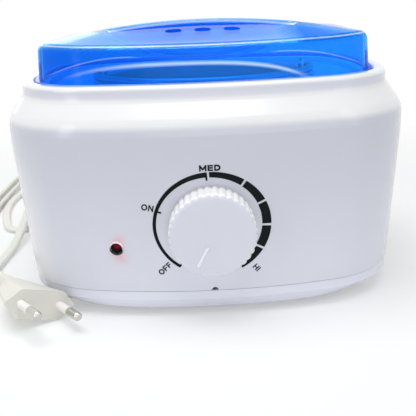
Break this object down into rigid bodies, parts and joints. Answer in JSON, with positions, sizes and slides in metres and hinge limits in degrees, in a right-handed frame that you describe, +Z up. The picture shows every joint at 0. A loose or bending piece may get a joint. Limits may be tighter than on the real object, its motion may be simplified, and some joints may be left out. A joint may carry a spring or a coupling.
{
  "type": "wax heater",
  "caption": "Table-top wax heater with a moulded casing, clear blue domed lid, lift-out pot with bail handle, thermostat dial, indicator lamp and flat mains lead with plug",
  "frame": {"origin": "on the table under the middle of the object, lead and plug left out", "axes": "+X to the right seen from the dial, +Y to the rear away from the dial, +Z up"},
  "size_m": [0.2754, 0.3023, 0.1264],
  "materials": {
    "casing_plastic": "gloss white moulding",
    "lid_clear_blue": "clear blue moulding",
    "pressed_aluminium": "pressed and satin",
    "heater_steel": "plated",
    "screw_steel": "zinc plated",
    "pin_nickel": "nickel plated",
    "foot_rubber": "matt grey",
    "glass_felt": "glass fibre felt",
    "dark_moulding": "heat-proof moulding",
    "lamp_red": "diffuse red lens",
    "lead_plastic": "soft white lead jacket",
    "wire_jacket": "wire insulation"
  },
  "bodies": {
    "housing": {"upper_housing": "casing_plastic", "inner_deck": "casing_plastic", "base_cover": "casing_plastic", "lamp_bezel": "casing_plastic", "base_screws": "screw_steel", "deck_screws": "screw_steel", "well_screws": "screw_steel", "strap_screw": "screw_steel", "clamp_screws": "screw_steel", "foot_front_left": "foot_rubber", "foot_front_right": "foot_rubber", "foot_rear_left": "foot_rubber", "foot_rear_right": "foot_rubber", "heating_well": "pressed_aluminium", "heater_band": "heater_steel", "clamp_strap": "heater_steel", "insulation_sleeve": "glass_felt", "thermal_fuse": "heater_steel", "fuse_clip": "heater_steel", "thermostat_body": "dark_moulding", "thermostat_nut": "heater_steel", "indicator_lens": "lamp_red", "lamp_board": "dark_moulding", "strain_relief": "lead_plastic", "cord_tail": "lead_plastic", "cord_clamp": "casing_plastic", "terminal_block": "dark_moulding", "mains_wires": "wire_jacket", "lamp_wires": "wire_jacket", "thermostat_wire": "wire_jacket", "fuse_wire": "wire_jacket", "band_wire": "wire_jacket", "return_wire": "wire_jacket", "plug_body": "lead_plastic", "plug_sleeves": "lead_plastic", "plug_pins": "pin_nickel", "cord_coil": "lead_plastic", "cord_tube": "lead_plastic"},
    "knob": {"dial_knob": "casing_plastic", "thermostat_shaft": "heater_steel"},
    "lid": {"lid": "lid_clear_blue"},
    "pot": {"wax_pot": "pressed_aluminium", "pot_ears": "heater_steel", "ear_rivets": "pressed_aluminium"},
    "bail": {"bail_handle": "heater_steel"}
  },
  "joints": [
    {"name": "knob_turn", "type": "hinge", "parent": "housing", "child": "knob", "pos_m": [0, -0.07245, 0.0436], "axis": [0, 0.9973, 0.0731], "range_deg": [0, 300]},
    {"name": "lid_lift", "type": "slide", "parent": "housing", "child": "lid", "axis": [0, 0, 1], "range_m": [0, 0.2]},
    {"name": "pot_lift", "type": "slide", "parent": "housing", "child": "pot", "axis": [0, 0, 1], "range_m": [0, 0.09]},
    {"name": "bail_swing", "type": "hinge", "parent": "pot", "child": "bail", "pos_m": [0, 0.00718, 0.102], "axis": [-1, 0, 0], "range_deg": [0, 90]}
  ],
  "couplings": [
    {"joint": "pot_lift", "follows": "lid_lift", "ratio": 0.45},
    {"joint": "bail_swing", "follows": "lid_lift", "rad_per_m": 7.8539}
  ]
}
